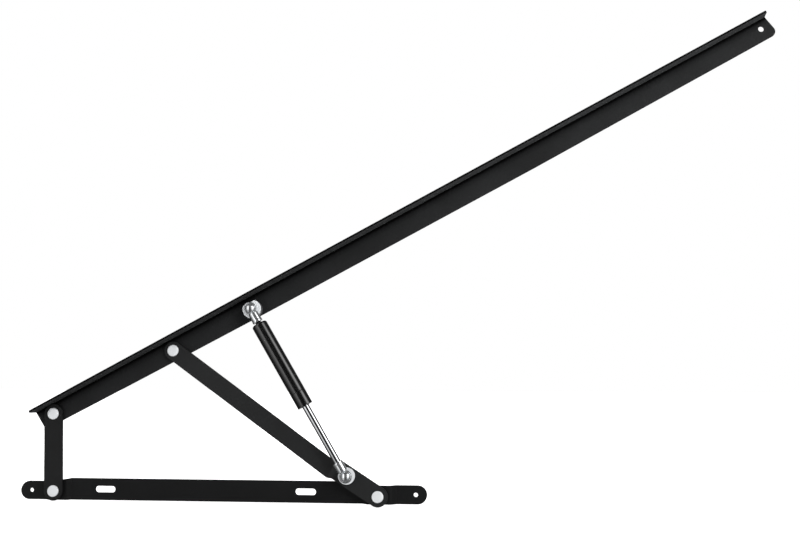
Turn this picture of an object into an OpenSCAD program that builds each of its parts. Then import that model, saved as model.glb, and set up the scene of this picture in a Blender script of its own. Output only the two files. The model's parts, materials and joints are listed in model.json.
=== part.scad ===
// Bed lift mechanism: a four-bar lift arm for one side of a storage bed, with its gas spring.
// It is drawn raised, as it holds the bed open. X runs along the base bar, Z is up, and the
// wall that the base bar is bolted to is the plane Y = 0. Depths are counted from that wall
// towards the viewer, which is -Y. The origin is midway between the two slots of the base bar.

/* [Base bar] */
// Thickness of the base bar's flat steel
base_t = 3; // [2.5:0.5:4]
// Height of the base bar between the two pivots
base_h = 30; // [28:1:36]
// Height of the two end lugs
lug_h = 25.5; // [20:0.5:27]
// Distance between the screw holes in the end lugs
lug_spacing = 545; // [540:1:580]
// From the left lug's hole to the point midway between the slots
slot_middle = 249.5; // [240:0.5:260]
// Diameter of the screw holes in the lugs
lug_hole_d = 6; // [4:0.5:8]
// From a lug's hole to the end of the bar
lug_tip = 15.5; // [13:0.5:20]
// Distance between the centres of the two slots
slot_spacing = 285; // [240:1:300]
// End-to-end length of a slot
slot_l = 29; // [20:1:40]
// Width of a slot
slot_w = 9; // [8:0.5:12]
// From the left lug's hole to pivot A
pivot_a_x = 35.5; // [32:0.5:42]
// Distance along the bar from pivot A to pivot D
pivot_span = 458; // [456:0.5:462]
// How far pivot D lies below pivot A
pivot_d_drop = 2; // [0:0.5:3]
// How far the pad at pivot A is joggled off the wall
pad_a_depth = 5; // [4:0.5:7]
// Length of the pad at pivot A to the left of the pivot
pad_a_left = 8; // [8:0.5:10]
// Length of the pads at both pivots to the right of the pivot
pad_right = 17; // [14:1:20]
// Length of the pad at pivot D to the left of the pivot
pad_d_left = 14; // [12:1:18]
// Length of the sloped step at pivot A
slope_a = 5; // [4:0.5:8]
// Length of the sloped steps at pivot D
slope_d = 7.5; // [6:0.5:10]

/* [Links] */
// Thickness of both links
link_t = 3; // [2.5:0.5:4]
// Pivot-to-pivot length of the short link
short_len = 107.5; // [105:0.5:110]
// Width of the short link
short_w = 27; // [22:1:27]
// Pivot-to-pivot length of the long link
long_len = 353; // [350:0.5:356]
// Width of the long link's upper part
long_w = 25; // [20:1:26]
// Width of the long link's lower part, in front of pivot D
foot_w = 28; // [26:1:32]
// Step towards the viewer between the two parts of the long link
jog_depth = 3; // [2:0.5:4]
// From pivot D to the near end of that step
jog_x = 66; // [62:1:74]
// Length of that step along the link
jog_len = 7; // [5:0.5:10]
// Sideways offset of the upper part's centre line at the step
jog_side = 7; // [4:0.5:8]
// Sideways offset of the lower part's centre line at the step
foot_side = 2; // [0:0.5:3]
// Angle of the short link above the base bar, with the mechanism open
open_angle = 92.3; // [90:0.1:96]

/* [Top rail] */
// Sheet thickness of the rail
rail_t = 2.5; // [2:0.5:3]
// Height of the rail at its left end, over the flange
web_left_h = 30; // [29:0.5:34]
// Height of the rail at its right end, over the flange
web_right_h = 31.5; // [29:0.5:34]
// How far the web's lower edge bows out midway along the rail
web_bow = 4.4; // [2:0.2:8]
// Depth of the flange in front of the web
flange_w = 28; // [20:1:34]
// Corner radius of the flange's free edge
flange_r = 5; // [3:1:10]
// How far the flange's free edge stops short of the rail's left end
flange_cut_left = 1; // [0:0.5:6]
// How far the flange's free edge stops short of the rail's right end
flange_cut_right = 5; // [0:0.5:8]
// How far the web's lower left corner lies in from the rail's left end
web_lean = 2; // [0:0.5:4]
// Distance between pivots B and C on the rail
rail_span = 192.5; // [190:0.5:195]
// From pivot B to the rail's left end
rail_left = 23.5; // [18:0.5:30]
// From pivot B to the hole at the rail's right end
rail_hole_x = 1135; // [900:5:1200]
// From that hole to the rail's right end at the flange
rail_right = 13; // [10:1:20]
// How far the web's lower corner reaches past its right end at the flange
rail_toe = 4.5; // [4:0.5:10]
// Radius of the web's lower right corner
toe_r = 8; // [3:0.5:9]
// Diameter of the hole at the rail's right end
rail_hole_d = 8; // [5:0.5:10]
// Depth of pivot B below the flange
gauge_b = 14; // [14:0.5:15]
// Depth of pivot C below the flange
gauge_c = 16.5; // [14:0.5:17]
// Depth of the spring's upper ball below the flange
gauge_u = 19; // [17:0.5:20]
// Depth of the hole at the right end below the flange
gauge_hole = 12.5; // [10:0.5:16]

/* [Rivets and studs] */
// Diameter of the pivot rivets' shanks
rivet_d = 8; // [6:0.5:10]
// Diameter of the rivet heads
head_d = 16; // [14:0.5:18]
// Thickness of the rivet heads
head_t = 2; // [1.5:0.25:3]
// Diameter of the formed rivet tails
tail_d = 13; // [11:0.5:14]
// Thickness of the formed rivet tails
tail_t = 2.2; // [1.5:0.1:2.5]
// Bevel around the rivet heads
head_bevel = 0.6; // [0.2:0.1:1]
// Bevel around the formed rivet tails
tail_bevel = 1; // [0.4:0.1:1.4]
// Thickness of the spacer washers at the pivots
washer_t = 2; // [1.5:0.25:2.5]
// Outer diameter of the spacer washers
washer_d = 18; // [16:0.5:20]
// Diameter of the ring under the lower ball
ring_d = 23; // [20:0.5:25]
// Thickness of the ring under the lower ball
ring_t = 4.5; // [2:0.25:4.5]
// Diameter of the D-shaped spacer under the upper ball
spacer_d = 26; // [24:0.2:28]
// From that spacer's centre to its flat
spacer_flat = 9.6; // [8:0.2:11]
// Diameter of the ball studs' threads
stud_d = 8; // [6:0.5:9]
// Width across flats of the stud nuts
nut_af = 13; // [12:0.5:14]
// Thickness of the stud nuts
nut_t = 4; // [3:0.5:4.5]
// How far the studs' threads stick out behind their nuts
stud_tip = 0.6; // [0:0.1:0.6]

/* [Gas spring] */
// Depth of the spring's centre line in front of the wall
spring_depth = 28.1; // [28:0.1:32]
// From the rail's pivot B to the upper ball, along the rail
upper_ball_x = 319.5; // [316:0.5:324]
// From pivot D to the lower ball, along the long link
lower_ball_x = 51; // [49:0.5:52]
// Sideways offset of the lower ball from the line between the long link's pivots
lower_ball_side = 0.8; // [0:0.2:1.6]
// Diameter of the balls
ball_d = 10; // [8:0.5:10]
// Diameter of the necks that carry the balls
neck_d = 6.2; // [4:0.2:6.4]
// Diameter of the ball sockets
socket_d = 18; // [16:0.5:19]
// Diameter of the sockets' shanks
shank_d = 14.5; // [12:0.5:16]
// From the upper ball to the end of its socket's shank
upper_shank = 22; // [18.5:0.5:22]
// From the lower ball to the end of its socket's shank
lower_shank = 22; // [18.5:0.5:22]
// Outer diameter of the cylinder
tube_d = 22; // [18:1:22]
// Wall of the cylinder
tube_wall = 1.5; // [1:0.25:2]
// From the upper ball to the cylinder's closed end
tube_start = 24.5; // [23:0.5:26]
// How much longer the cylinder with its cap is than the rod that shows
tube_spare = 43; // [36:1:48]
// Length of the gland cap
cap_len = 21.5; // [20:0.5:24]
// Radius of the cylinder's rounded end
tube_r = 3; // [2:0.5:4]
// Diameter of the piston rod
rod_d = 10; // [8:0.5:12]
// Diameter of the threaded ends of the rod and the cylinder
thread_d = 8; // [5:0.5:8]
// How far those threaded ends reach into the ball sockets
thread_in = 11; // [7:0.5:11]

/* [Clearances] */
// Radial clearance of a pin or rod that turns or slides
fit_run = 0.06; // [0.04:0.01:0.09]
// Radial clearance of a piece that is held fast
fit_held = 0.02; // [0.01:0.01:0.05]
// Gap between faces that slide on each other
face_play = 0.1; // [0.05:0.05:0.2]

/* [Hidden] */
$fn = 96;

// Steps in an arc that bends a sheet
bend_steps = 6;
// Radius of a bend's centre line, in sheet thicknesses
bend_ratio = 0.8;
// Straight pieces that follow the bow of the rail's lower edge
bow_steps = 24;
// How far a cutting tool reaches past the face it cuts
over = 1;
// Longer than any depth in the mechanism
far = 60;

// A point at a distance and an angle from another
function polar(p, r, a) = p + r * [cos(a), sin(a)];

// The angle of the line from p to q
function heading(p, q) = atan2(q[1] - p[1], q[0] - p[0]);

// The upper crossing of a circle about p with radius r and one about q with radius s
function crossing(p, r, q, s) =
    let (d = norm(q - p), a = (r * r - s * s + d * d) / (2 * d), h = sqrt(r * r - a * a))
    polar(polar(p, a, heading(p, q)), h, heading(p, q) + 90);

// Joints of the linkage, as X and Z
lug_z = (lug_h - base_h) / 2;
lug_left = [-slot_middle, lug_z];
lug_right = lug_left + [lug_spacing, 0];
piv_a = lug_left + [pivot_a_x, 0];
piv_d = piv_a + [pivot_span, -pivot_d_drop];
piv_b = polar(piv_a, short_len, open_angle);
piv_c = crossing(piv_b, rail_span, piv_d, long_len);
rail_angle = heading(piv_b, piv_c) + asin((gauge_c - gauge_b) / rail_span);
long_angle = heading(piv_d, piv_c);
ball_u = polar(polar(piv_b, upper_ball_x, rail_angle), gauge_u - gauge_b, rail_angle - 90);
ball_l = polar(polar(piv_d, lower_ball_x, long_angle), lower_ball_side, long_angle + 90);
spring_angle = heading(ball_u, ball_l);
spring_len = norm(ball_l - ball_u);
rod_show = (spring_len - tube_start - lower_shank - tube_spare) / 2;

// Depths of the layers in front of the wall, from the back to the front
pad_a_front = pad_a_depth + base_t;
link_back = pad_a_front + washer_t + face_play;
link_front = link_back + link_t;
foot_back = link_back + jog_depth;
foot_front = foot_back + link_t;
pad_d_front = foot_back - face_play - washer_t;
pad_d_depth = pad_d_front - base_t;
web_front = pad_a_front;
web_back = web_front - rail_t;
seat_front = foot_front + ring_t;
flange_front = web_front + flange_w;

// The rail's bend and its right end, from pivot B
bend_in = rail_t / 2;
bend_out = bend_in + rail_t;
bend_start = gauge_b + rail_t - bend_out;
rail_end = rail_hole_x + rail_right;
pivot_c_x = rail_span * cos(rail_angle - heading(piv_b, piv_c));

// Sizes of the ball joints and the spring that follow from the ones above
ball_r = ball_d / 2;
collar_r = 6.5;
collar_t = 2;
collar_bevel = 0.5;
cup_gap = 0.08;
socket_bevel = 0.8;
bore_spare = 1;
mouth = 5;
dome_r = socket_d / 2 - socket_bevel;
rim_front = 3.5;
clip_wire = 1;
clip_at = 3.6;
bore_r = tube_d / 2 - tube_wall;
cap_start = tube_start + rod_show + tube_spare - cap_len;
rolled_in = tube_start + tube_wall;
spigot = 6;
plug_t = 4;
guide_r = 8;
guide_len = 10;
seal_len = 5;
lip_t = 3;
lip_gap = 0.4;
piston_t = 6;
rest_gap = 0.5;
piston_at = cap_start - spigot - rest_gap - piston_t;
piston_gap = 0.3;
groove_w = 2;
groove_depth = 2;
groove_at = piston_at + (piston_t - groove_w) / 2;
swage_t = 1.4;
swage_reach = 1.2;
pin_r = 3;

// An arc of a bent sheet's centre line about the corner at p, coming from o and going to q
function bend_arc(o, p, q, r) =
    let (
        a = heading(o, p),
        turn = heading(p, q) - a,
        side = turn > 0 ? 1 : -1,
        start = polar(p, r * tan(abs(turn) / 2), a + 180),
        centre = polar(start, r, a + 90 * side)
    )
    [for (i = [0:bend_steps]) [polar(centre, r, a - 90 * side + turn * i / bend_steps),
        a + turn * i / bend_steps]];

// The centre line of a bent sheet: points with the heading at each, its corners rounded
function bent_line(path, r) = [
    [path[0], heading(path[0], path[1])],
    for (i = [1:len(path) - 2]) each bend_arc(path[i - 1], path[i], path[i + 1], r),
    [path[len(path) - 1], heading(path[len(path) - 2], path[len(path) - 1])]
];

// The outline of a sheet of thickness t that follows such a centre line
function sheet_outline(line, t) = concat(
    [for (p = line) polar(p[0], t / 2, p[1] + 90)],
    [for (i = [len(line) - 1:-1:0]) polar(line[i][0], t / 2, line[i][1] - 90)]
);

// How far from a corner at p, between o and q, a rounding of radius r begins
function setback(o, p, q, r) = r * abs(tan((heading(p, q) - heading(o, p)) / 2));

// A flat outline with rounded corners, each given anticlockwise as its X, its Y and its radius
module soft_polygon(corners) {
    n = len(corners);
    xy = [for (c = corners) [c[0], c[1]]];
    reach = [for (i = [0:n - 1]) setback(xy[(i + n - 1) % n], xy[i], xy[(i + 1) % n], corners[i][2])];
    polygon([
        for (i = [0:n - 1])
            each reach[i] == 0 ? [xy[i]] : [
                polar(xy[i], reach[i], heading(xy[i], xy[(i + n - 1) % n])),
                polar(xy[i], reach[i], heading(xy[i], xy[(i + 1) % n]))
            ]
    ]);
    for (i = [0:n - 1])
        if (reach[i] > 0) {
            a = heading(xy[i], xy[(i + 1) % n]);
            translate(polar(polar(xy[i], reach[i], a), corners[i][2], a + 90))
                circle(r = corners[i][2]);
        }
}

// A flat shape, drawn in X and Z, as a plate between two depths
module plate(back, front) {
    translate([0, -back, 0])
        rotate([90, 0, 0])
            linear_extrude(front - back)
                children();
}

// A sheet seen from above, drawn in X and depth, as a strip between two heights
module strip(low, high) {
    translate([0, 0, low])
        linear_extrude(high - low)
            mirror([0, 1])
                children();
}

// Children drawn about a joint, with their X axis turned to an angle in the X-Z plane
module at(p, angle = 0) {
    translate([p[0], 0, p[1]])
        rotate([0, -angle, 0])
            children();
}

// A round piece about a pivot, drawn as radius and depth
module turned(p) {
    translate([p[0], 0, p[1]])
        rotate([90, 0, 0])
            rotate_extrude()
                children();
}

// A round piece on the spring's centre line, drawn as radius and distance from a ball
module on_spring(p, angle) {
    translate([p[0], -spring_depth, p[1]])
        rotate([0, -angle, 0])
            rotate([0, 90, 0])
                rotate_extrude()
                    children();
}

// A disc with a bevelled front rim, as half of its section
module head_section(r, back, front, bevel) {
    polygon([[0, back], [r, back], [r, front - bevel], [r - bevel, front], [0, front]]);
}

// A rectangle as half of a ring's section, from one radius to another
module ring_section(inner, outer, back, front) {
    translate([inner, back])
        square([outer - inner, front - back]);
}

// A slot or link outline with round ends at two points, drawn flat
module round_bar(p, q, w) {
    for (end = [p, q])
        translate(end)
            circle(d = w);
    translate(p)
        rotate(heading(p, q))
            translate([0, -w / 2])
                square([norm(q - p), w]);
}

// A rivet's head in front of a depth, with its shank from another, as half of a section
module rivet_front(head_back, shank_back) {
    head_section(head_d / 2, head_back, head_back + head_t, head_bevel);
    ring_section(0, rivet_d / 2, shank_back, head_back + head_t / 2);
}

// A rivet's formed tail behind a sheet, with its shank up to a depth, as half of a section
module rivet_tail(sheet_back, shank_front) {
    back = sheet_back - tail_t;
    ring_section(0, rivet_d / 2, back, shank_front);
    polygon([
        [0, back], [tail_d / 2 - tail_bevel, back], [tail_d / 2, back + tail_bevel],
        [tail_d / 2, sheet_back], [0, sheet_back]
    ]);
}

// A rivet through several sheets: head in front, shank, and a formed tail behind
module rivet(p, head_back, sheet_back) {
    turned(p) {
        rivet_front(head_back, sheet_back);
        rivet_tail(sheet_back, head_back);
    }
}

module washer(p, hole_d, d, back, front) {
    turned(p)
        ring_section(hole_d / 2 + fit_held, d / 2, back, front);
}

// The base bar: flat steel, joggled off the wall at both pivots, narrower from there outwards
module base_bar() {
    tip_l = [lug_left[0] - lug_tip, base_t / 2];
    tip_r = [lug_right[0] + lug_tip, base_t / 2];
    high_a = pad_a_depth + base_t / 2;
    high_d = pad_d_depth + base_t / 2;
    a_left = piv_a[0] - pad_a_left;
    a_right = piv_a[0] + pad_right;
    d_left = piv_d[0] - pad_d_left;
    d_right = piv_d[0] + pad_right;
    path = [
        tip_l,
        [a_left - slope_a, base_t / 2], [a_left, high_a],
        [a_right, high_a], [a_right + slope_a, base_t / 2],
        [d_left - slope_d, base_t / 2], [d_left, high_d],
        [d_right, high_d], [d_right + slope_d, base_t / 2],
        tip_r
    ];
    low = -base_h / 2;
    lug_top = low + lug_h;
    round_l = lug_left[0] - lug_tip + lug_h / 2;
    round_r = lug_right[0] + lug_tip - lug_h / 2;
    color([0.11, 0.11, 0.115])
        difference() {
            intersection() {
                strip(low, base_h / 2)
                    polygon(sheet_outline(bent_line(path, base_t * bend_ratio), base_t));
                plate(-over, far) {
                    round_bar([round_l, lug_z], [round_r, lug_z], lug_h);
                    polygon([
                        [a_left, low], [d_left, low], [d_left, lug_top],
                        [d_left - slope_d, base_h / 2], [a_right + slope_a, base_h / 2],
                        [a_left, lug_top]
                    ]);
                }
            }
            for (p = [lug_left, lug_right])
                at(p)
                    plate(-over, far)
                        circle(d = lug_hole_d);
            for (p = [piv_a, piv_d])
                at(p)
                    plate(-over, far)
                        circle(r = rivet_d / 2 + fit_held);
            for (side = [-1, 1])
                plate(-over, far)
                    translate([side * slot_spacing / 2, 0])
                        round_bar([(slot_w - slot_l) / 2, 0], [(slot_l - slot_w) / 2, 0], slot_w);
        }
}

// The rear half of pivot A's rivet, which stays in the base bar
module pivot_a_tail() {
    color([0.78, 0.79, 0.8])
        turned(piv_a)
            rivet_tail(pad_a_depth, link_back - face_play);
}

// The front half of that rivet, which goes with the short link
module pivot_a_rivet() {
    color([0.78, 0.79, 0.8])
        turned(piv_a)
            rivet_front(link_front, link_back);
}

module pivot_a_washer() {
    color([0.55, 0.55, 0.56])
        washer(piv_a, rivet_d, washer_d, pad_a_front, link_back - face_play);
}

module pivot_d_rivet() {
    color([0.78, 0.79, 0.8])
        rivet(piv_d, foot_front + face_play, pad_d_depth);
}

module pivot_d_washer() {
    color([0.55, 0.55, 0.56])
        washer(piv_d, rivet_d, washer_d, pad_d_front, foot_back - face_play);
}

// The short link: a flat bar with round ends
module short_link() {
    color([0.12, 0.12, 0.125])
        at(piv_a, open_angle)
            difference() {
                plate(link_back, link_front)
                    round_bar([0, 0], [short_len, 0], short_w);
                plate(0, far)
                    circle(r = rivet_d / 2 + fit_held);
                translate([short_len, 0, 0])
                    plate(0, far)
                        circle(r = rivet_d / 2 + fit_run);
            }
}

module pivot_b_rivet() {
    color([0.78, 0.79, 0.8])
        rivet(piv_b, link_front + face_play, web_back);
}

module pivot_b_washer() {
    color([0.55, 0.55, 0.56])
        washer(piv_b, rivet_d, washer_d, web_front, link_back - face_play);
}

// The long link, joggled forwards and sideways near its foot; drawn from pivot D towards C
module long_link() {
    jog_end = jog_x + jog_len;
    path = [
        [-foot_w, foot_back + link_t / 2], [jog_x, foot_back + link_t / 2],
        [jog_end, link_back + link_t / 2], [long_len + long_w, link_back + link_t / 2]
    ];
    color([0.12, 0.12, 0.125])
        at(piv_d, long_angle)
            difference() {
                intersection() {
                    strip(-foot_w, foot_w)
                        polygon(sheet_outline(bent_line(path, link_t * bend_ratio), link_t));
                    plate(0, far) {
                        circle(d = foot_w);
                        translate([long_len, 0])
                            circle(d = long_w);
                        polygon([
                            [0, -foot_w / 2], [jog_x, foot_side - foot_w / 2],
                            [jog_end, jog_side - long_w / 2], [long_len, -long_w / 2],
                            [long_len, long_w / 2], [jog_end, jog_side + long_w / 2],
                            [jog_x, foot_side + foot_w / 2], [0, foot_w / 2]
                        ]);
                    }
                }
                plate(0, far)
                    circle(r = rivet_d / 2 + fit_run);
                translate([long_len, 0, 0])
                    plate(0, far)
                        circle(r = rivet_d / 2 + fit_run);
                translate([lower_ball_x, 0, lower_ball_side])
                    plate(0, far)
                        circle(r = stud_d / 2 + fit_held);
            }
}

// The ball, neck and collar of a stud, as half of a section, with the collar's back at a depth
module ball_section(collar_back) {
    difference() {
        translate([0, spring_depth])
            circle(r = ball_r);
        translate([-ball_r - over, spring_depth - ball_r - over])
            square([ball_r + over, ball_d + 2 * over]);
    }
    ring_section(0, neck_d / 2, collar_back, spring_depth);
    head_section(collar_r, collar_back, collar_back + collar_t, collar_bevel);
}

module lower_ball_stud() {
    color([0.8, 0.81, 0.82])
        turned(ball_l) {
            ball_section(seat_front);
            ring_section(0, stud_d / 2, foot_back - nut_t - stud_tip, seat_front + over);
        }
}

module lower_stud_ring() {
    color([0.8, 0.81, 0.82])
        washer(ball_l, stud_d, ring_d, foot_front, seat_front);
}

// A hexagon nut behind a sheet
module nut(p, front) {
    at(p)
        plate(front - nut_t, front)
            difference() {
                circle(d = nut_af / cos(30), $fn = 6);
                circle(r = stud_d / 2 + fit_held);
            }
}

module lower_stud_nut() {
    color([0.7, 0.71, 0.72])
        nut(ball_l, foot_back);
}

// The rail's web, which carries the pivots; its lower edge bows out midway
module rail_web() {
    top = gauge_b + rail_t;
    corner_left = [web_lean - rail_left, top - web_left_h];
    corner_right = [rail_end + rail_toe, top - web_right_h];
    bow = [
        for (i = [0:bow_steps - 1])
            let (t = i / bow_steps, p = corner_left * (1 - t) + corner_right * t)
            [p[0], p[1] - 4 * web_bow * t * (1 - t), 0]
    ];
    color([0.11, 0.11, 0.115])
        at(piv_b, rail_angle)
            difference() {
                plate(web_back, web_front)
                    soft_polygon(concat(bow, [
                        [corner_right[0], corner_right[1], toe_r],
                        [rail_end, bend_start, 0],
                        [-rail_left, bend_start, 0]
                    ]));
                for (p = [[0, 0], [pivot_c_x, gauge_b - gauge_c]])
                    at(p)
                        plate(0, web_front + over)
                            circle(r = rivet_d / 2 + fit_held);
                at([upper_ball_x, gauge_b - gauge_u])
                    plate(0, web_front + over)
                        circle(r = stud_d / 2 + fit_held);
                at([rail_hole_x, gauge_b - gauge_hole])
                    plate(0, web_front + over)
                        circle(d = rail_hole_d);
            }
}

// The rail's bend and its flange, which carries the bed's frame, one sheet with the web
module rail_flange() {
    bend_at = web_front + bend_in;
    color([0.11, 0.11, 0.115])
        at(piv_b, rail_angle)
            intersection() {
                translate([-rail_left, 0, 0])
                    rotate([90, 0, 90])
                        linear_extrude(rail_left + rail_end)
                            mirror([1, 0]) {
                                translate([bend_at, gauge_b])
                                    square([flange_front - bend_at, rail_t]);
                                translate([bend_at, bend_start])
                                    intersection() {
                                        difference() {
                                            circle(r = bend_out);
                                            circle(r = bend_in);
                                        }
                                        translate([-bend_out, 0])
                                            square(bend_out);
                                    }
                            }
                strip(bend_start, gauge_b + rail_t)
                    soft_polygon([
                        [-rail_left, 0, 0],
                        [rail_end, 0, 0],
                        [rail_end, web_front, 0],
                        [rail_end - flange_cut_right, flange_front, flange_r],
                        [flange_cut_left - rail_left, flange_front, flange_r],
                        [-rail_left, web_front, 0]
                    ]);
            }
}

module pivot_c_rivet() {
    color([0.78, 0.79, 0.8])
        rivet(piv_c, link_front + face_play, web_back);
}

module pivot_c_washer() {
    color([0.55, 0.55, 0.56])
        washer(piv_c, rivet_d, washer_d, web_front, link_back - face_play);
}

// The thick spacer under the upper ball, with a flat that clears the flange
module upper_stud_spacer() {
    color([0.78, 0.79, 0.8])
        at(ball_u, rail_angle)
            plate(web_front, seat_front)
                difference() {
                    circle(d = spacer_d);
                    translate([-spacer_d, spacer_flat])
                        square([2 * spacer_d, spacer_d]);
                    circle(r = stud_d / 2 + fit_held);
                }
}

// The upper stud's threaded part, which stays in the rail
module upper_stud_bolt() {
    color([0.7, 0.71, 0.72])
        turned(ball_u)
            ring_section(0, stud_d / 2, web_back - nut_t - stud_tip, seat_front);
}

module upper_stud_nut() {
    color([0.7, 0.71, 0.72])
        nut(ball_u, web_back);
}

// The upper stud's ball, neck and collar, which follow the spring
module upper_ball() {
    color([0.8, 0.81, 0.82])
        turned(ball_u)
            ball_section(seat_front + face_play);
}

// A ball socket: a cup with a domed front, and a threaded shank along the spring's centre line
module socket(p, angle, shank) {
    difference() {
        union() {
            on_spring(p, angle)
                head_section(shank_d / 2, 0, shank, socket_bevel);
            translate([p[0], -spring_depth, p[1]])
                sphere(r = dome_r);
            turned(p)
                head_section(socket_d / 2, 0, spring_depth + rim_front, socket_bevel);
        }
        translate([p[0], -spring_depth, p[1]])
            sphere(r = ball_r + cup_gap);
        turned(p) {
            ring_section(0, ball_r + cup_gap, 0, spring_depth);
            ring_section(0, socket_d / 2 + over, -over, spring_depth - mouth);
            translate([ball_r, spring_depth - clip_at])
                circle(d = clip_wire + 2 * fit_held);
        }
        on_spring(p, angle)
            ring_section(0, thread_d / 2 + fit_held, shank - thread_in - bore_spare, shank + over);
    }
}

// A wire ring that holds the ball in its cup
module socket_clip(p) {
    turned(p)
        translate([ball_r, spring_depth - clip_at])
            circle(d = clip_wire);
}

module upper_ball_socket() {
    color([0.82, 0.83, 0.84])
        socket(ball_u, spring_angle, upper_shank);
}

module upper_socket_clip() {
    color([0.6, 0.6, 0.62])
        socket_clip(ball_u);
}

module lower_ball_socket() {
    color([0.82, 0.83, 0.84])
        socket(ball_l, spring_angle + 180, lower_shank);
}

module lower_socket_clip() {
    color([0.6, 0.6, 0.62])
        socket_clip(ball_l);
}

// The plug that closes the cylinder's upper end, with the thread for the upper socket
module cylinder_end_plug() {
    seat = tube_start + tube_r;
    color([0.3, 0.3, 0.31])
        on_spring(ball_u, spring_angle) {
            ring_section(0, thread_d / 2, upper_shank - thread_in, seat);
            ring_section(0, bore_r - tube_wall - fit_held, rolled_in, seat + plug_t);
            ring_section(0, bore_r - fit_held, seat, seat + plug_t);
        }
}

// The cylinder, rolled in at its closed end
module cylinder_tube() {
    r = tube_d / 2;
    color([0.06, 0.06, 0.065])
        on_spring(ball_u, spring_angle)
            difference() {
                union() {
                    ring_section(0, r - tube_r, tube_start, cap_start);
                    ring_section(0, r, tube_start + tube_r, cap_start);
                    intersection() {
                        translate([r - tube_r, tube_start + tube_r])
                            circle(r = tube_r);
                        ring_section(0, r, tube_start, cap_start);
                    }
                }
                ring_section(0, thread_d / 2 + fit_held, tube_start - over, rolled_in + over);
                polygon([
                    [0, rolled_in], [bore_r - tube_wall, rolled_in],
                    [bore_r, tube_start + tube_r], [bore_r, cap_start + over], [0, cap_start + over]
                ]);
            }
}

// The gland cap, which holds the rod's guide and seal
module gland_cap() {
    inner = cap_start - spigot;
    color([0.07, 0.07, 0.075])
        on_spring(ball_u, spring_angle)
            difference() {
                union() {
                    ring_section(0, bore_r - fit_held, inner, cap_start + over);
                    ring_section(0, tube_d / 2, cap_start, cap_start + cap_len - over);
                    ring_section(0, tube_d / 2 - over, cap_start, cap_start + cap_len);
                }
                ring_section(0, guide_r, inner - over, cap_start + cap_len - lip_t);
                ring_section(0, rod_d / 2 + lip_gap, inner, cap_start + cap_len + over);
            }
}

module rod_guide() {
    back = cap_start - spigot;
    color([0.75, 0.62, 0.35])
        on_spring(ball_u, spring_angle)
            ring_section(rod_d / 2 + fit_run, guide_r - fit_held, back, back + guide_len);
}

module rod_seal() {
    back = cap_start + cap_len - lip_t - seal_len;
    color([0.15, 0.15, 0.15])
        on_spring(ball_u, spring_angle)
            ring_section(rod_d / 2 + fit_run, guide_r - fit_held, back, back + seal_len);
}

// The piston rod, threaded into the lower socket and swaged over behind the piston
module piston_rod() {
    piston_back = spring_len - piston_at;
    color([0.85, 0.86, 0.87])
        on_spring(ball_l, spring_angle + 180) {
            ring_section(0, thread_d / 2, lower_shank - thread_in, lower_shank + over);
            ring_section(0, rod_d / 2, lower_shank, piston_back - piston_t);
            ring_section(0, pin_r, lower_shank, piston_back + swage_t);
            ring_section(0, pin_r + swage_reach, piston_back, piston_back + swage_t);
        }
}

module piston() {
    color([0.6, 0.6, 0.62])
        on_spring(ball_u, spring_angle)
            difference() {
                ring_section(pin_r + fit_held, bore_r - piston_gap, piston_at, piston_at + piston_t);
                ring_section(bore_r - groove_depth, bore_r, groove_at, groove_at + groove_w);
            }
}

module piston_ring() {
    color([0.2, 0.2, 0.2])
        on_spring(ball_u, spring_angle)
            ring_section(bore_r - groove_depth + fit_held, bore_r - fit_run,
                groove_at + fit_held, groove_at + groove_w - fit_held);
}

base_bar();
pivot_a_tail();
pivot_a_washer();
pivot_d_rivet();
pivot_d_washer();
short_link();
pivot_a_rivet();
long_link();
lower_ball_stud();
lower_stud_ring();
lower_stud_nut();
rail_web();
rail_flange();
pivot_b_rivet();
pivot_b_washer();
pivot_c_rivet();
pivot_c_washer();
upper_stud_spacer();
upper_stud_bolt();
upper_stud_nut();
upper_ball();
upper_ball_socket();
upper_socket_clip();
cylinder_end_plug();
cylinder_tube();
gland_cap();
rod_guide();
rod_seal();
piston_rod();
piston();
piston_ring();
lower_ball_socket();
lower_socket_clip();
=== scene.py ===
"""Looks of the bed lift mechanism: softened steel, turned rivets and studs, gas spring, studio.

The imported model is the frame. Every length is in metres, in its axes: X along the base bar,
Z up, and the viewer on the -Y side. "Depth" below is the distance from the wall plane Y = 0
towards the viewer. A turned form is given by points (r, s): the radius, and the distance along
the form's own axis.
"""

import json
import math

import bmesh
import bpy
from mathutils import Matrix, Vector


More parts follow.
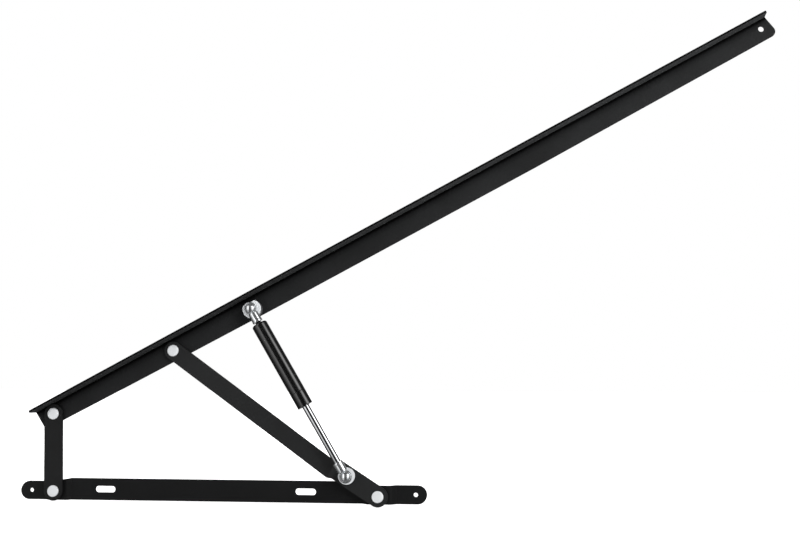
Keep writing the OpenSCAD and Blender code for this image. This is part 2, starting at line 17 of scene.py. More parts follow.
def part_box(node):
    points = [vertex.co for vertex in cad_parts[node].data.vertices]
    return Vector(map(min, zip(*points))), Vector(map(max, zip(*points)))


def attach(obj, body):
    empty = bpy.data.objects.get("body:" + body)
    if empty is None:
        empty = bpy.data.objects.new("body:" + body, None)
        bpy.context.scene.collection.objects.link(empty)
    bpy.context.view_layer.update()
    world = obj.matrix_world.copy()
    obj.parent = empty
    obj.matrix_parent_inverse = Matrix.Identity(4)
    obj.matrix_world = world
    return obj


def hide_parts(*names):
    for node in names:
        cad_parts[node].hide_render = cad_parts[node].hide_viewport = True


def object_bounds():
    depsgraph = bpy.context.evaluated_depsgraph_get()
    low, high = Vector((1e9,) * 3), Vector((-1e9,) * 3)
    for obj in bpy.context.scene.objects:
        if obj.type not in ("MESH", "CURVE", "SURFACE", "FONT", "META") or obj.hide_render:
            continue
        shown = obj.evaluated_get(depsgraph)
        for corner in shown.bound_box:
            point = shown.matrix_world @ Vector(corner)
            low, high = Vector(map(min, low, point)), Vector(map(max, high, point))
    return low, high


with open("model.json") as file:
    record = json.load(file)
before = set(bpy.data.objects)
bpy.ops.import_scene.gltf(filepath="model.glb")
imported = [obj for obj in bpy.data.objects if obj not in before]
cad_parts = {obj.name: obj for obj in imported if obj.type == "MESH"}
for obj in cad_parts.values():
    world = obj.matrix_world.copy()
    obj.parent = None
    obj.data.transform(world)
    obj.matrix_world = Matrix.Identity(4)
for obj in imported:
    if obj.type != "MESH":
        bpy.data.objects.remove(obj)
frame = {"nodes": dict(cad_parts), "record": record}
CAD_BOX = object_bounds()
MM = 0.001

NODES = frame["nodes"]
RECORD = frame["record"]
BODY_OF = {node: body for body, nodes in RECORD["behaviour"]["bodies"].items() for node in nodes}
SLOT_OF = {part["node"]: part["material_slot"] for part in RECORD["subparts"]}
RAIL_MOUNT = next(mount for mount in RECORD["mounts"] if mount["name"] == "rail_top")
RAIL_TOP = Vector(RAIL_MOUNT["pos_m"])
RAIL_UP = Vector(RAIL_MOUNT["axis"])
FRONT = Vector((0, -1, 0))


# Camera: as the photograph's was fitted, 1.4 m in front of the wall plane

LENS = 45
SENSOR = 36
CAMERA_PLACE = (0.38445, -1.4, 0.15418)
CAMERA_DEGREES = (96.4907, -0.2398, 4.5592)

camera = bpy.data.objects.new("camera", bpy.data.cameras.new("camera"))
bpy.context.scene.collection.objects.link(camera)
camera.data.lens = LENS
camera.data.sensor_width = SENSOR
camera.location = CAMERA_PLACE
camera.rotation_euler = [math.radians(angle) for angle in CAMERA_DEGREES]
bpy.context.scene.camera = camera


# Where the nodes lie


def middle(node):
    """The axis of a piece turned about a line along Y, as a point on the wall plane."""
    low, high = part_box(node)
    return Vector(((low.x + high.x) / 2, 0, (low.z + high.z) / 2))


def depths(node):
    """A node's back and front depths."""
    low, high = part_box(node)
    return -high.y, -low.y


def radius(node):
    """The radius of a piece turned about a line along Y."""
    low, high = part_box(node)
    return (high.x - low.x) / 2


# Materials

# Nearly all values of a noise texture lie between these
NOISE_RANGE = (0.3, 0.7)


def grey(value, tint=0.0):
    """A linear grey, a little bluer with a positive tint."""
    return (value * (1 - tint), value, value * (1 + tint))


def set_inputs(node, values):
    """Sets a node's inputs by name, with _ for a space."""
    for name, value in values.items():
        node.inputs[name.replace("_", " ")].default_value = value


class Graph:
    """A node tree, with shorthand for making nodes and linking them."""

    def __init__(self, tree):
        self.tree = tree

    def add(self, kind, operation=None, **inputs):
        node = self.tree.nodes.new(kind)
        if operation:
            node.operation = operation
        set_inputs(node, inputs)
        return node

    def link(self, output, node, socket):
        self.tree.links.new(output, node.inputs[socket])

    def combine(self, operation, *terms):
        """Values and plain numbers put together."""
        node = self.add("ShaderNodeMath", operation)
        for place, term in enumerate(terms):
            if isinstance(term, (int, float)):
                node.inputs[place].default_value = term
            else:
                self.link(term, node, place)
        return node.outputs["Value"]

    def along(self, output, direction):
        """How far a vector reaches along a direction."""
        node = self.add("ShaderNodeVectorMath", "DOT_PRODUCT")
        node.inputs[1].default_value = direction
        self.link(output, node, 0)
        return node.outputs["Value"]

    def spread(self, output, from_low, from_high, to_low=0.0, to_high=1.0):
        """A value mapped from one range to another, and held at its ends."""
        node = self.add(
            "ShaderNodeMapRange", From_Min=from_low, From_Max=from_high, To_Min=to_low, To_Max=to_high
        )
        self.link(output, node, "Value")
        return node.outputs["Result"]

    def ramp(self, output, stops):
        """A colour picked by a value, from (place between 0 and 1, colour) stops."""
        node = self.add("ShaderNodeValToRGB")
        elements = node.color_ramp.elements
        while len(elements) < len(stops):
            elements.new(0.5)
        for element, (at, colour) in zip(elements, stops):
            element.position = at
            element.color = (*colour, 1)
        self.link(output, node, "Fac")
        return node.outputs["Color"]


class Look(Graph):
    """One material: a shader with constants, and what is linked to it."""

    def __init__(self, name, **constants):
        self.material = bpy.data.materials.new(name)
        self.material.use_nodes = True
        super().__init__(self.material.node_tree)
        self.shader = self.tree.nodes["Principled BSDF"]
        set_inputs(self.shader, constants)
        self.place = self.add("ShaderNodeTexCoord").outputs["Object"]

    def stretched(self, scale):
        """The object's coordinates, scaled along each axis."""
        node = self.add("ShaderNodeMapping", Scale=scale)
        self.link(self.place, node, "Vector")
        return node.outputs["Vector"]

    def noise(self, scale, detail, place=None):
        node = self.add("ShaderNodeTexNoise", Scale=scale, Detail=detail)
        self.link(place or self.place, node, "Vector")
        return node.outputs["Fac"]

    def distance(self, origin, direction, low, high):
        """How far a point lies along a direction, as 0 to 1 between two distances."""
        node = self.add("ShaderNodeVectorMath", "SUBTRACT")
        node.inputs[1].default_value = origin
        self.link(self.place, node, 0)
        return self.spread(self.along(node.outputs["Vector"], direction), low, high)

    def colour(self, noise, low, high):
        """Clouds of the base colour between two colours."""
        stops = list(zip(NOISE_RANGE, (low, high)))
        self.link(self.ramp(noise, stops), self.shader, "Base Color")

    def tone(self, output):
        """Scales the base colour by a value."""
        node = self.add("ShaderNodeVectorMath", "SCALE")
        self.link(self.shader.inputs["Base Color"].links[0].from_socket, node, 0)
        self.link(output, node, "Scale")
        self.link(node.outputs["Vector"], self.shader, "Base Color")

    def roughness(self, noise, low, high):
        self.link(self.spread(noise, *NOISE_RANGE, low, high), self.shader, "Roughness")

    def bump(self, *layers):
        """Raised detail from layers of (output, height in metres)."""
        normal = None
        for output, height in layers:
            node = self.add("ShaderNodeBump", Strength=1.0, Distance=height)
            self.link(output, node, "Height")
            if normal:
                self.link(normal, node, "Normal")
            normal = node.outputs["Normal"]
        self.link(normal, self.shader, "Normal")


def powder_coat(name, tone, shine=0.2, edges=0.3):
    """Black powder coat: orange peel, a little dust in patches, and painted shade, darker on the faces that
    turn away from the front, such as a sheet's edges.
    """
    look = Look(name, Specular_IOR_Level=shine)
    look.colour(look.noise(14, 4), grey(0.0074 * tone, 0.02), grey(0.0096 * tone, 0.03))
    look.roughness(look.noise(60, 4), 0.44, 0.56)
    look.bump((look.noise(420, 2), 0.05 * MM), (look.noise(2600, 2), 0.02 * MM))
    # painted shade: the more a face turns away from the front, the darker it is, down to the share that edges
    # gives
    normal = look.add("ShaderNodeNewGeometry").outputs["Normal"]
    facing = look.combine("ABSOLUTE", look.along(normal, FRONT))
    look.tone(look.ramp(facing, [(0.3, grey(edges)), (0.9, grey(1.0))]))
    return look


# The rail's painted shade and light: from 22 mm below its top (0) to its top (1), as shares of the palest one
TONED_HEIGHT = 22 * MM
PALEST_TONE = 3.6
RAIL_TONES = [
    # the web, in painted shade, darker and darker towards the bend's corner
    (0.0, 0.25), (0.35, 0.245), (0.58, 0.185), (0.7, 0.1), (0.77, 0.015),
    # the bend's corner, darkest in painted shade, a line of painted light under the flange where it begins,
    # and the flange
    (0.878, 0.01), (0.882, 0.7), (0.893, 0.7), (0.9, 0.25),
]
# and painted shade over the last of the flange, darker towards its front rim
RIM = 1 * MM
RIM_TONES = [(0.3, 1.0), (0.5, 0.14)]
# The upper spacer: how deep its bright front reaches, over what depth it fades into painted shade, and the
# tone of that painted shade on its side behind
BRIGHT_FRONT = 0.4 * MM
SHADE_FADE = 1 * MM
SIDE_SHADE_TONE = 0.18


def rail_coat():
    """The rail's coat: painted shade, darker down the web into the bend's corner and at the flange's front
    rim, and painted light, paler under the flange.
    """
    look = powder_coat("rail_powder_coat", 1.7, 0.06, edges=1.0)
    # painted shade and painted light by height on the rail, and painted shade towards the flange's front rim
    height = look.distance(RAIL_TOP, RAIL_UP, -TONED_HEIGHT, 0)
    tone = look.ramp(height, [(at, grey(share)) for at, share in RAIL_TONES])
    to_rim = look.distance(FRONT * (depths("rail_flange")[1] - RIM), FRONT, 0, RIM)
    rim = look.ramp(to_rim, [(at, grey(share)) for at, share in RIM_TONES])
    look.tone(look.combine("MULTIPLY", look.combine("MULTIPLY", tone, rim), PALEST_TONE))
    return look


def tube_enamel():
    """Gloss black enamel over a drawn tube, with a faint ripple along it."""
    look = Look("gloss_black_enamel", Specular_IOR_Level=0.5, Coat_Weight=1.0, Coat_Roughness=0.16)
    look.colour(look.noise(30, 3), grey(0.0022), grey(0.0036))
    look.roughness(look.noise(90, 3), 0.2, 0.28)
    look.bump((look.noise(60, 2, look.stretched((1, 1, 0.15))), 0.01 * MM))
    return look


def plated(name, low, high, rough, metallic):
    """Zinc plating, a little cloudy."""
    look = Look(name, Metallic=metallic)
    look.colour(look.noise(70, 2), grey(low, 0.02), grey(high, 0.02))
    look.roughness(look.noise(160, 3), rough - 0.04, rough + 0.04)
    return look


def shaded_side_zinc():
    """The upper spacer's plating: bright on its front, and darker on its side behind that, a painted shade.
    """
    look = plated("shaded_side_stud_zinc", 0.8, 0.86, 0.26, 0.2)
    look.bump((look.noise(700, 2), 0.001 * MM))
    # painted shade: the side behind the bright front is darkened
    full_shade_depth = depths("upper_stud_spacer")[1] - BRIGHT_FRONT - SHADE_FADE
    front = look.distance(FRONT * full_shade_depth, FRONT, 0, SHADE_FADE)
    look.tone(look.spread(front, 0, 1, SIDE_SHADE_TONE, 1))
    return look


def turned_zinc(name, low, high, rough, metallic):
    """Bright zinc over turned steel: fine rings about the piece's own axis, cloudy plating."""
    look = plated(name, low, high, rough, metallic)
    rings = look.add("ShaderNodeTexWave", Scale=500, Distortion=0.6)
    rings.wave_type = "RINGS"
    rings.rings_direction = "Z"
    look.link(look.place, rings, "Vector")
    look.bump((rings.outputs["Fac"], 0.0008 * MM), (look.noise(500, 2), 0.002 * MM))
    return look


def polished(name, low, high, rough_low, rough_high, tint=0.02, metallic=1.0):
    """Polished plating with faint haze and fine scratches along the piece."""
    look = Look(name, Metallic=metallic)
    look.colour(look.noise(80, 3), grey(low, tint), grey(high, tint))
    look.roughness(look.noise(240, 4), rough_low, rough_high)
    scratches = look.noise(1500, 2, look.stretched((1, 1, 0.08)))
    look.bump((look.noise(140, 2), 0.004 * MM), (scratches, 0.0012 * MM))
    return look


def moulded(name, low, high, rough):
    """Moulded plastic or rubber with a fine matt skin."""
    look = Look(name, Specular_IOR_Level=0.3)
    look.colour(look.noise(60, 3), low, high)
    look.roughness(look.noise(200, 3), rough - 0.06, rough + 0.06)
    look.bump((look.noise(1200, 2), 0.02 * MM))
    return look


LOOKS = {
    "black_coat": powder_coat("black_powder_coat", 0.88),
    "tube_black": tube_enamel(),
    "rivet_zinc": turned_zinc("turned_rivet_zinc", 0.65, 0.71, 0.34, 0.25),
    "stud_zinc": turned_zinc("turned_stud_zinc", 0.74, 0.8, 0.26, 0.25),
    "nut_zinc": polished("nut_zinc_plating", 0.45, 0.55, 0.24, 0.34, metallic=0.5),
    "socket_zinc": polished("polished_socket_plating", 0.84, 0.9, 0.13, 0.18, metallic=0.92),
    "rod_chrome": polished("hard_chrome", 0.66, 0.72, 0.05, 0.09),
    "clip_wire": polished("spring_wire", 0.4, 0.5, 0.2, 0.3),
    "plug_steel": polished("phosphated_steel", 0.06, 0.1, 0.35, 0.5),
    "guide_bronze": polished("sintered_bronze", 0.3, 0.42, 0.35, 0.5, tint=-0.3),
    "piston_alloy": polished("turned_aluminium", 0.6, 0.72, 0.2, 0.3),
    "washer_nylon": moulded("black_nylon", grey(0.006), grey(0.009), 0.5),
    "seal_rubber": moulded("nitrile_rubber", grey(0.005), grey(0.008), 0.55),
    "ring_plastic": moulded("sliding_plastic", (0.03, 0.024, 0.02), (0.04, 0.032, 0.026), 0.5),
}


# Making pieces

# Edges sharper than these stay crisp, on the softened sheets and on the turned pieces
SHEET_CRISP = math.radians(38)
TURNED_CRISP = math.radians(34)
# On a sheet, edges sharper than this are rounded over, and faces flatter than this become one
ROUNDED_EDGE = math.radians(32)
FLAT_ENOUGH = math.radians(0.4)
# Verts nearer than this are one; the two nodes of one sheet may lie a little further apart
SAME_PLACE = 0.001 * MM
PARTING_GAP = 0.02 * MM
# How much of a side one rounded corner may take
CORNER_SHARE = 0.45
# A ring smaller than this is a point on the axis
ON_AXIS = 0.0001 * MM
# The sides of turned forms, of the large smooth ones, and of threads
SIDES = 96
FINE_SIDES = 128
THREAD_SIDES = 48

dressed = set()


def finish_piece(piece, *nodes, look=None):
    """Gives a new piece the body of the nodes it stands for and the material of their slot, and hides them.
    """
    slot = SLOT_OF[nodes[0]]
    piece.data.materials.append((look or LOOKS[slot]).material)
    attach(piece, BODY_OF[nodes[0]])
    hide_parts(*nodes)
    dressed.update(nodes)


def new_piece(name, made, crisp):
    """A piece from a bmesh: smooth, with the edges sharper than an angle kept crisp."""
    for face in made.faces:
        face.smooth = True
    for edge in made.edges:
        edge.smooth = len(edge.link_faces) == 2 and edge.calc_face_angle(math.pi) < crisp
    mesh = bpy.data.meshes.new(name)
    made.to_mesh(mesh)
    made.free()
    piece = bpy.data.objects.new(name, mesh)
    bpy.context.scene.collection.objects.link(piece)
    return piece


def softened(name, width, nodes, look=None, drop=None):
    """CAD nodes in one mesh with their sharp edges rounded over, as rolled and coated steel has them.

    Faces that drop picks are left out, where two nodes of one sheet meet.
    """
    made = bmesh.new()
    for node in nodes:
        made.from_mesh(NODES[node].data)
    bmesh.ops.remove_doubles(made, verts=made.verts, dist=SAME_PLACE)
    if drop:
        bmesh.ops.delete(made, geom=[face for face in made.faces if drop(face)], context="FACES")
        bmesh.ops.remove_doubles(made, verts=made.verts, dist=PARTING_GAP)
    bmesh.ops.dissolve_limit(
        made, angle_limit=FLAT_ENOUGH, verts=made.verts, edges=made.edges, delimit={"NORMAL"}
    )
    sharp = [
        edge for edge in made.edges
        if len(edge.link_faces) == 2 and edge.calc_face_angle(0) > ROUNDED_EDGE
    ]
    bmesh.ops.bevel(
        made, geom=sharp, offset=width, offset_type="OFFSET", segments=3, profile=0.5,
        affect="EDGES", clamp_overlap=True, harden_normals=False,
    )
    piece = new_piece(name, made, SHEET_CRISP)
    piece.modifiers.new("weighted", "WEIGHTED_NORMAL").keep_sharp = True
    finish_piece(piece, *nodes, look=look)


def arc(r, s, size, start, end, steps):
    """Points on a circle about (r, s), between two angles counted from the axis's back end."""
    angles = [start + (end - start) * i / steps for i in range(steps + 1)]
    return [(r + size * math.sin(angle), s - size * math.cos(angle)) for angle in angles]


def rounded(profile, size, steps=4):
    """A profile with each inner corner rounded, as far as its sides leave the room."""
    points = [Vector(point) for point in profile]
    out = [points[0]]
    for before, corner, after in zip(points, points[1:], points[2:]):
        to_before, to_after = before - corner, after - corner
        reach = min(size, to_before.length * CORNER_SHARE, to_after.length * CORNER_SHARE)
        start = corner + to_before.normalized() * reach
        end = corner + to_after.normalized() * reach
        for i in range(steps + 1):
            t = i / steps
            out.append(start * (1 - t) ** 2 + corner * 2 * t * (1 - t) + end * t ** 2)
    return out + [points[-1]]


def ring_stack(made, count, point_at, steps):
    """Adds rings of verts joined by faces: point_at(step, turn) gives a ring point's (r, s).

    A ring whose radius is nothing becomes one vert on the axis.
    """
    rings = []
    for step in range(steps):
        ring = []
        for i in range(count):
            r, s = point_at(step, i / count)
            if r < ON_AXIS:
                ring.append(made.verts.new((0, 0, s)))
                break
            angle = math.tau * i / count
            ring.append(made.verts.new((r * math.cos(angle), r * math.sin(angle), s)))
        rings.append(ring)
    for low, high in zip(rings, rings[1:]):
        for i in range(count):
            j = (i + 1) % count
            corners = [low[i % len(low)], low[j % len(low)], high[j % len(high)], high[i % len(high)]]
            face = list(dict.fromkeys(corners))
            if len(face) > 2:
                made.faces.new(face)


def turn_into(made, profile, count=SIDES):
    """Adds the form that a profile makes when it is turned about its axis."""
    ring_stack(made, count, lambda step, turn: profile[step], len(profile))


def turned(profile, count=SIDES):
    """What adds a turned form to a bmesh."""
    return lambda made: turn_into(made, profile, count)


def axis_frame(centre, axis):
    """The matrix that puts a form's s axis along an axis through a centre, its x axis level."""
    z = Vector(axis).normalized()
    x = Vector((0, 0, 1)).cross(z).normalized()
    return Matrix.Translation(centre) @ Matrix((x, z.cross(x), z)).transposed().to_4x4()


def lathe(name, node, centre, axis, *forms):
    """A piece that stands for a node, of forms about one axis; each form adds itself to a bmesh."""
    made = bmesh.new()
    for form in forms:
        form(made)
    bmesh.ops.recalc_face_normals(made, faces=made.faces)
    piece = new_piece(name, made, TURNED_CRISP)
    piece.matrix_world = axis_frame(centre, axis)
    finish_piece(piece, node)


# Sheet metal

# The rail's web and flange meet this far below its top, where the bend starts
BEND = 3.75 * MM


def on_the_parting(face):
    """Whether a face lies where the rail's web and flange meet."""
    height = (face.calc_center_median() - RAIL_TOP).dot(RAIL_UP)
    level = abs(face.normal.dot(RAIL_UP)) > 0.999
    return level and abs(height + BEND) < PARTING_GAP


# One black coat, toned per part as light falls on it: the bar darker in painted shade, the long link paler in
# painted light than the short link
softened("base_bar_soft", 0.8 * MM, ["base_bar"], powder_coat("bar_powder_coat", 0.72, 0.14))
softened("short_link_soft", 0.8 * MM, ["short_link"])
softened("long_link_soft", 0.8 * MM, ["long_link"], powder_coat("link_powder_coat", 1.3, 0.26))
softened("rail_soft", 0.45 * MM, ["rail_web", "rail_flange"], rail_coat(), on_the_parting)
softened("upper_spacer_soft", 0.4 * MM, ["upper_stud_spacer"], shaded_side_zinc())


# Rivets and washers, turned about lines along Y; s is the depth

# The shanks of rivets, studs and threaded ends, and the holes that go over them
SHANK_R = 4 * MM
HOLE_R = 4.02 * MM
# A rivet's head: its broken edge across and along, its dish's start from the side and its depths
HEAD_R = 8 * MM
HEAD_T = 2 * MM
HEAD_EDGE = (0.9 * MM, 0.7 * MM)
DISH_START = 1.5 * MM
DISH_DEPTHS = (0.12 * MM, 0.16 * MM)
# A rivet's tail: its broken edge, and its dimple's radius and depth
TAIL_R = 6.5 * MM
TAIL_T = 2.2 * MM
TAIL_EDGE = 1 * MM
DIMPLE = (2.2 * MM, 0.1 * MM)


def turned_piece(node, profile):
    """A piece turned about a line along Y that stands for a node, its profile's corners rounded."""
    lathe(node + "_turned", node, middle(node), FRONT, turned(rounded(profile, 0.3 * MM)))


def rivet_tail(back):
    """A rivet's formed tail, from its middle to the shank."""
    front = back + TAIL_T
    return [
        (0, back + DIMPLE[1]), (DIMPLE[0], back), (TAIL_R - TAIL_EDGE, back), (TAIL_R, back + TAIL_EDGE),
        (TAIL_R, front), (SHANK_R, front),
    ]


def rivet_head(front, head_r):
    """A rivet's head from the shank to its middle, its face a little dished."""
    back = front - HEAD_T
    return [
        (SHANK_R, back), (head_r, back), (head_r, front - HEAD_EDGE[1]), (head_r - HEAD_EDGE[0], front),
        (head_r - DISH_START, front - DISH_DEPTHS[0]), (0, front - DISH_DEPTHS[1]),
    ]


for node in ("pivot_b_rivet", "pivot_c_rivet", "pivot_d_rivet"):
    back, front = depths(node)
    turned_piece(node, rivet_tail(back) + rivet_head(front, radius(node)))

back, front = depths("pivot_a_rivet")
turned_piece("pivot_a_rivet", [(0, back), (SHANK_R, back)] + rivet_head(front, HEAD_R))
back, front = depths("pivot_a_tail")
turned_piece("pivot_a_tail", rivet_tail(back) + [(SHANK_R, front), (0, front)])

for node in ("pivot_a_washer", "pivot_b_washer", "pivot_c_washer", "pivot_d_washer", "lower_stud_ring"):
    back, front = depths(node)
    outer = radius(node)
    halfway = (HOLE_R + outer) / 2
    turned_piece(node, [
        (halfway, back), (HOLE_R, back), (HOLE_R, front), (halfway, front), (outer, front), (outer, back),
        (halfway, back),
    ])


# Ball studs and their nuts

BALL_R = 5 * MM
NECK_R = 3.1 * MM
COLLAR_T = 2 * MM
PITCH = 1.25 * MM
THREAD_DEPTH = 0.54 * PITCH
THREAD_STEPS = 6
# A stud's rear end: its flat's radius, its chamfer's radius and length, and where the thread starts
TIP_R = 3.1 * MM
TIP_CHAMFER = (3.5 * MM, 0.4 * MM)
TIP_T = 0.3 * MM
NUT_FLATS = 13 * MM
# A nut's faces: their radius as a share of its flats, the slope of the corners' chamfer round them,
# and the levels from either face where its outline is drawn, close together over that chamfer
NUT_FACE = 0.475
NUT_SLOPE = math.tan(math.radians(30))
NUT_LEVELS = (0, 0.25 * MM, 0.5 * MM, 0.9 * MM)
COUNTERSINK = (0.5 * MM, 0.3 * MM)

UPPER = middle("upper_ball")
LOWER = middle("lower_ball_stud")
BALL_DEPTH = depths("upper_ball")[1] - BALL_R


def ball_profile(back, collar_r):
    """The half section of a ball on its neck and collar."""
    top = back + COLLAR_T
    foot = [
        (0, back), (collar_r, back), (collar_r, top - 0.5 * MM), (collar_r - 0.5 * MM, top),
        (NECK_R + 0.6 * MM, top), (NECK_R, top + 0.6 * MM),
    ]
    return rounded(foot, 0.25 * MM) + arc(0, BALL_DEPTH, BALL_R, math.asin(NECK_R / BALL_R), math.pi, 28)


def thread(start, end):
    """What adds a helical thread to a bmesh, from one s to another, fading out at both ends."""
    steps = round((end - start) / PITCH * THREAD_STEPS) + 1

    def at(step, turn):
        s = start + (end - start) * step / (steps - 1)
        phase = ((s / PITCH - turn) % 1.0) * 2 - 1
        fade = max(0.0, min(1.0, (s - start) / PITCH, (end - s) / PITCH))
        return SHANK_R - THREAD_DEPTH * (0.5 + (0.5 - abs(phase)) * fade), s

    return lambda made: ring_stack(made, THREAD_SIDES, at, steps)


def stud_tip(back):
    """What adds a stud's chamfered rear end to a bmesh."""
    return turned([(0, back), (TIP_R, back), (TIP_CHAMFER[0], back + TIP_CHAMFER[1])])


def nut(back, front):
    """What adds a hexagon nut to a bmesh, its corners chamfered on both faces."""
    outline = [back + level for level in NUT_LEVELS] + [front - level for level in reversed(NUT_LEVELS)]
    countersink = HOLE_R + COUNTERSINK[0]
    inner_back, inner_front = back + COUNTERSINK[1], front - COUNTERSINK[1]
    rows = [(HOLE_R, inner_back), (countersink, back)]
    rows += [(None, s) for s in outline]
    rows += [(countersink, front), (HOLE_R, inner_front)]

    def at(step, turn):
        r, s = rows[step]
        if r is None:
            hexagon = NUT_FLATS / 2 / math.cos((turn * math.tau) % (math.pi / 3) - math.pi / 6)
            r = min(hexagon, NUT_FLATS * NUT_FACE + min(s - back, front - s) / NUT_SLOPE)
        return r, s

    def add(made):
        ring_stack(made, SIDES, at, len(rows))
        turn_into(made, [(HOLE_R, inner_back), (HOLE_R, inner_front)])

    return add


ball = turned(ball_profile(depths("upper_ball")[0], radius("upper_ball")))
lathe("upper_ball_turned", "upper_ball", UPPER, FRONT, ball)

back, seat = depths("lower_ball_stud")[0], depths("lower_stud_ring")[1]
ball = turned(ball_profile(seat, radius("lower_ball_stud")))
lathe(
    "lower_ball_stud_turned", "lower_ball_stud", LOWER, FRONT,
    ball, thread(back + TIP_T, seat), stud_tip(back),
)

back, front = depths("upper_stud_bolt")
front_end = turned([(3.6 * MM, front - 0.01 * MM), (0, front)])
lathe(
    "upper_stud_bolt_turned", "upper_stud_bolt", UPPER, FRONT,
    thread(back + TIP_T, front), stud_tip(back), front_end,
)

for node, centre in (("upper_stud_nut", UPPER), ("lower_stud_nut", LOWER)):
    lathe(node + "_hex", node, centre, FRONT, nut(*depths(node)))


# Ball sockets and gas spring; s runs along the spring's centre line

SPRING_U = Vector((UPPER.x, -BALL_DEPTH, UPPER.z))
SPRING_L = Vector((LOWER.x, -BALL_DEPTH, LOWER.z))
ALONG = (SPRING_L - SPRING_U).normalized()
LENGTH = (SPRING_L - SPRING_U).length


def reach_of(node):
    """Where a node starts and ends along the spring, as distances from the upper ball."""
    part = NODES[node]
    steps = [(part.matrix_world @ vertex.co - SPRING_U).dot(ALONG) for vertex in part.data.vertices]
    return min(steps), max(steps)


UPPER_SHANK = reach_of("upper_ball_socket")[1]
LOWER_SHANK = LENGTH - reach_of("lower_ball_socket")[0]
TUBE_START, CAP_START = reach_of("cylinder_tube")
CAP_END = reach_of("gland_cap")[1]
PLUG_START, PLUG_END = reach_of("cylinder_end_plug")
# The rod's ends are counted from the lower ball
ROD_START, ROD_END = (LENGTH - place for place in reversed(reach_of("piston_rod")))

SOCKET_R = 9 * MM
SOCKET_MOUTH = -5 * MM
SOCKET_RIM = 3.5 * MM
DOME_R = 8.2 * MM
CUP_R = 5.08 * MM
# The socket's shank: its radius at the head, a little before its end, and at its end
SHANK_RADII = (6.9 * MM, 7.0 * MM, 7.25 * MM)
THREADED_END = 4 * MM
TUBE_R = 11 * MM
TUBE_BORE_R = 9.5 * MM
ROLLED_R = 3 * MM
# The broken edges at the seam between tube and cap, across and along
SEAM = (0.3 * MM, 0.35 * MM)
CAP_BORE_R = 9 * MM
CAP_MOUTH_R = 6.2 * MM
CAP_LIP = 0.5 * MM
GLAND_HOLE_R = 5.4 * MM
PLUG_R = 9.4 * MM
PLUG_T = 4 * MM
ROD_R = 5 * MM
ROD_THREAD_R = 3.9 * MM
PISTON_SEAT = (3 * MM, 7.4 * MM)


def socket_head():
    """The cup with its domed front, open at the back; s is the distance from the ball's centre."""
    cup = arc(0, 0, CUP_R, math.pi, math.pi / 2, 12)
    dome = arc(0, 0, DOME_R, math.pi / 2 + math.asin(SOCKET_RIM / DOME_R), math.pi, 24)
    edge = [(CUP_R, SOCKET_MOUTH), (SOCKET_R, SOCKET_MOUTH), (SOCKET_R, SOCKET_RIM), (dome[0][0], SOCKET_RIM)]
    return cup + rounded(edge, 0.8 * MM, 6) + dome[1:]


def socket_shank(length):
    """The shank from inside the head to its end, with its threaded hole; s as in socket_head."""
    start, at_head, before_end, at_end = 7.5 * MM, *SHANK_RADII
    return rounded([
        (0, start), (at_head, start), (before_end, length - THREADED_END), (at_end, length - 2.2 * MM),
        (at_end, length), (HOLE_R + 0.58 * MM, length), (HOLE_R, length - 0.8 * MM),
        (HOLE_R, length - THREADED_END),
    ], 0.5 * MM)


def socket(name, node, centre, along, length):
    """A socket: its head turned about the ball's axis, its shank along the spring."""
    made = bmesh.new()
    for axis, profile in ((FRONT, socket_head()), (along, socket_shank(length))):
        before = len(made.verts)
        turn_into(made, profile)
        bmesh.ops.transform(made, matrix=axis_frame(Vector(), axis), verts=list(made.verts)[before:])
    bmesh.ops.recalc_face_normals(made, faces=made.faces)
    piece = new_piece(name, made, TURNED_CRISP)
    piece.matrix_world = Matrix.Translation(centre)
    finish_piece(piece, node)


socket("upper_socket_cast", "upper_ball_socket", SPRING_U, ALONG, UPPER_SHANK)
socket("lower_socket_cast", "lower_ball_socket", SPRING_L, -ALONG, LOWER_SHANK)

hole = [(HOLE_R, TUBE_START + 1.2 * MM), (4.4 * MM, TUBE_START + 0.05 * MM), (5 * MM, TUBE_START)]
rolled = arc(TUBE_R - ROLLED_R, TUBE_START + ROLLED_R, ROLLED_R, 0, math.pi / 2, 12)
seam = [(TUBE_R, CAP_START - SEAM[1]), (TUBE_R - SEAM[0], CAP_START), (TUBE_BORE_R, CAP_START)]
tube = turned(hole + rolled + seam, FINE_SIDES)
lathe("cylinder_tube_drawn", "cylinder_tube", SPRING_U, ALONG, tube)

lip = CAP_END - CAP_LIP
cap = rounded([
    (CAP_BORE_R, CAP_START), (TUBE_R, CAP_START), (TUBE_R, CAP_END), (CAP_MOUTH_R + 0.4 * MM, CAP_END),
    (CAP_MOUTH_R, lip), (GLAND_HOLE_R, lip), (GLAND_HOLE_R, CAP_END - 3 * MM),
], 0.7 * MM, 5)
lathe("gland_cap_turned", "gland_cap", SPRING_U, ALONG, turned(cap, FINE_SIDES))

plug_face = PLUG_END - PLUG_T
plug = turned([(0, plug_face), (PLUG_R, plug_face), (PLUG_R, PLUG_END), (0, PLUG_END)])
lathe(
    "end_plug_threaded", "cylinder_end_plug", SPRING_U, ALONG,
    thread(PLUG_START, TUBE_START + 1 * MM), plug,
)

seat = ROD_END - PISTON_SEAT[1]
rod = rounded([
    (ROD_THREAD_R, ROD_START), (ROD_THREAD_R, LOWER_SHANK), (ROD_R, LOWER_SHANK), (ROD_R, seat),
    (PISTON_SEAT[0], seat),
], 0.3 * MM)
lathe("piston_rod_ground", "piston_rod", SPRING_L, -ALONG, turned(rod, FINE_SIDES))


# The nodes that have no piece keep their own form

for name, node in NODES.items():
    if name not in dressed:
        node.data.materials.clear()
        node.data.materials.append(LOOKS[SLOT_OF[name]].material)
        node.data.polygons.foreach_set("use_smooth", [True] * len(node.data.polygons))


# Studio

WHITE = (1, 1, 1, 1)
# How bright the surroundings are for surfaces that don't mirror them
FILL = 0.45
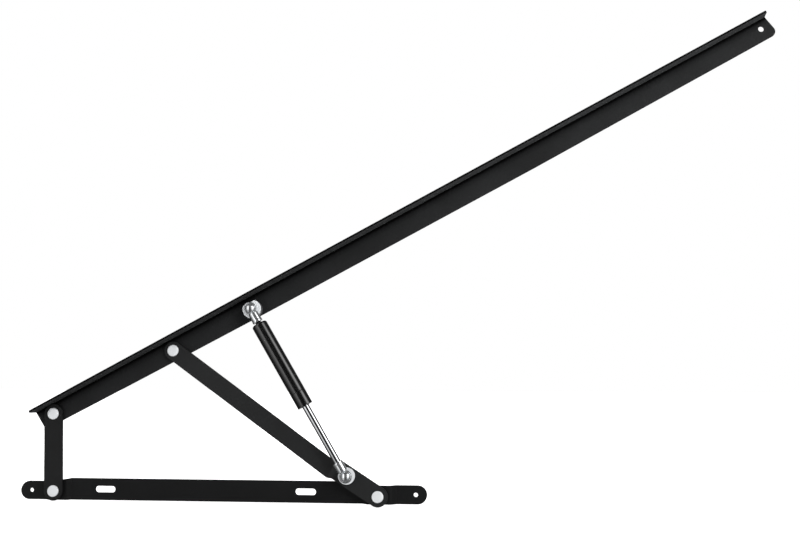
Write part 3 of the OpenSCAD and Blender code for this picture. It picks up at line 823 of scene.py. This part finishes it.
# The room that reflections see: soft panels, each a (place from X = -1 at 0 to X = 1 at 1, brightness)
PANELS = [
    (0.025, 0.2), (0.1, 0.7), (0.2, 1.2), (0.25, 1.5), (0.3, 1.5), (0.33, 0.03), (0.745, 0.02), (0.81, 1.1),
]
# A round lamp in it: where it is, how near to that a reflection has to point, and its brightness
LAMP_WAY = (0.81, -0.22, 0.54)
LAMP_EDGE = (0.84, 0.96)
LAMP = 2.5
# How the room darkens or brightens along an axis: from one place to another, from one factor to another
ROOM_FADES = [
    ("MULTIPLY", "Z", 0.6, 0.85, 1, 0.05),
    ("MULTIPLY", "Z", -0.2, -0.5, 1, 0.35),
    ("MULTIPLY", "Y", -0.4, -0.05, 1, 0),
    ("ADD", "Y", -0.4, -0.05, 0, 0.05),
    ("ADD", "Y", 0.85, 0.98, 0, 0.6),
]
# The floor glows for the camera only: less near the object, where its shadow shows, and white far off
FLOOR_TONE = 0.93
FLOOR_FADE = (0.6, 1.6)
FLOOR_GLOW = (0.55, 1.0)
FLOOR_REACH = 14
FLOOR_GAP = 0.2 * MM
# Soft boxes: name, place, what they point at, size and power
LIGHTS = [
    ("key", (1.2, -1.5, 1.2), (0.3, 0, 0.3), (1.0, 1.2), 24),
    ("fill", (-1.5, -1.8, 0.7), (0.1, 0, 0.2), (0.8, 1.6), 14),
    ("low", (1.1, -0.8, 0.1), (0.78, 0, 0.62), (0.3, 0.2), 8),
    ("top", (0.3, -0.2, 2.2), (0.3, 0, 0.2), (2.4, 1.4), 12),
    ("back", (-0.2, 1.9, 1.1), (0.3, 0, 0.25), (1.8, 1.2), 26),
]


def area_light(name, place, target, size, power):
    data = bpy.data.lights.new(name, "AREA")
    data.shape = "RECTANGLE"
    data.size, data.size_y = size
    data.energy = power
    light = bpy.data.objects.new(name, data)
    bpy.context.scene.collection.objects.link(light)
    light.location = place
    light.rotation_euler = (Vector(target) - Vector(place)).to_track_quat("-Z", "Y").to_euler()
    light.visible_camera = False
    light.visible_glossy = False


def studio_world():
    """White for the camera, a room of soft panels for reflections, and an even fill for the rest."""
    world = bpy.data.worlds.new("studio")
    bpy.context.scene.world = world
    world.use_nodes = True
    world.node_tree.nodes.clear()
    graph = Graph(world.node_tree)

    def background(strength):
        """A white background, as strong as a number or a value says."""
        node = graph.add("ShaderNodeBackground", Color=WHITE)
        if isinstance(strength, float):
            node.inputs["Strength"].default_value = strength
        else:
            graph.link(strength, node, "Strength")
        return node.outputs["Background"]

    def choice(share, first, second):
        """The first shader, or the second as far as a share goes."""
        node = graph.add("ShaderNodeMixShader")
        graph.link(share, node, "Fac")
        graph.link(first, node, 1)
        graph.link(second, node, 2)
        return node.outputs["Shader"]

    way = graph.add("ShaderNodeTexCoord").outputs["Generated"]
    split = graph.add("ShaderNodeSeparateXYZ")
    graph.link(way, split, "Vector")
    panels = graph.ramp(graph.spread(split.outputs["X"], -1, 1), [(at, grey(value)) for at, value in PANELS])
    lamp = graph.spread(graph.along(way, LAMP_WAY), *LAMP_EDGE, 0, LAMP)
    bright = graph.combine("ADD", panels, lamp)
    for operation, axis, *limits in ROOM_FADES:
        bright = graph.combine(operation, bright, graph.spread(split.outputs[axis], *limits))

    rays = graph.add("ShaderNodeLightPath").outputs
    mirrored = graph.combine("MAXIMUM", rays["Is Glossy Ray"], rays["Is Transmission Ray"])
    around = choice(mirrored, background(FILL), background(bright))
    seen = choice(rays["Is Camera Ray"], around, background(1.0))
    graph.link(seen, graph.add("ShaderNodeOutputWorld"), "Surface")


def floor():
    """A pale floor that the object's lowest edge touches: lit and shaded near it, plain white far off."""
    look = Look(
        "pale_floor", Base_Color=(*grey(FLOOR_TONE), 1), Roughness=0.9, Specular_IOR_Level=0.0,
        Emission_Color=WHITE,
    )
    away = look.add("ShaderNodeVectorMath", "LENGTH")
    look.link(look.place, away, 0)
    glow = look.spread(away.outputs["Value"], *FLOOR_FADE, *FLOOR_GLOW)
    camera_ray = look.add("ShaderNodeLightPath").outputs["Is Camera Ray"]
    look.link(look.combine("MULTIPLY", glow, camera_ray), look.shader, "Emission Strength")

    mesh = bpy.data.meshes.new("floor")
    level = CAD_BOX[0].z - FLOOR_GAP
    corners = [(x * FLOOR_REACH, y * FLOOR_REACH, level) for x, y in ((-1, -1), (1, -1), (1, 1), (-1, 1))]
    mesh.from_pydata(corners, [], [(0, 1, 2, 3)])
    mesh.materials.append(look.material)
    plane = bpy.data.objects.new("floor", mesh)
    bpy.context.scene.collection.objects.link(plane)
    plane.visible_glossy = False


studio_world()
floor()
for light in LIGHTS:
    area_light(*light)
bpy.context.scene.view_settings.view_transform = "Standard"
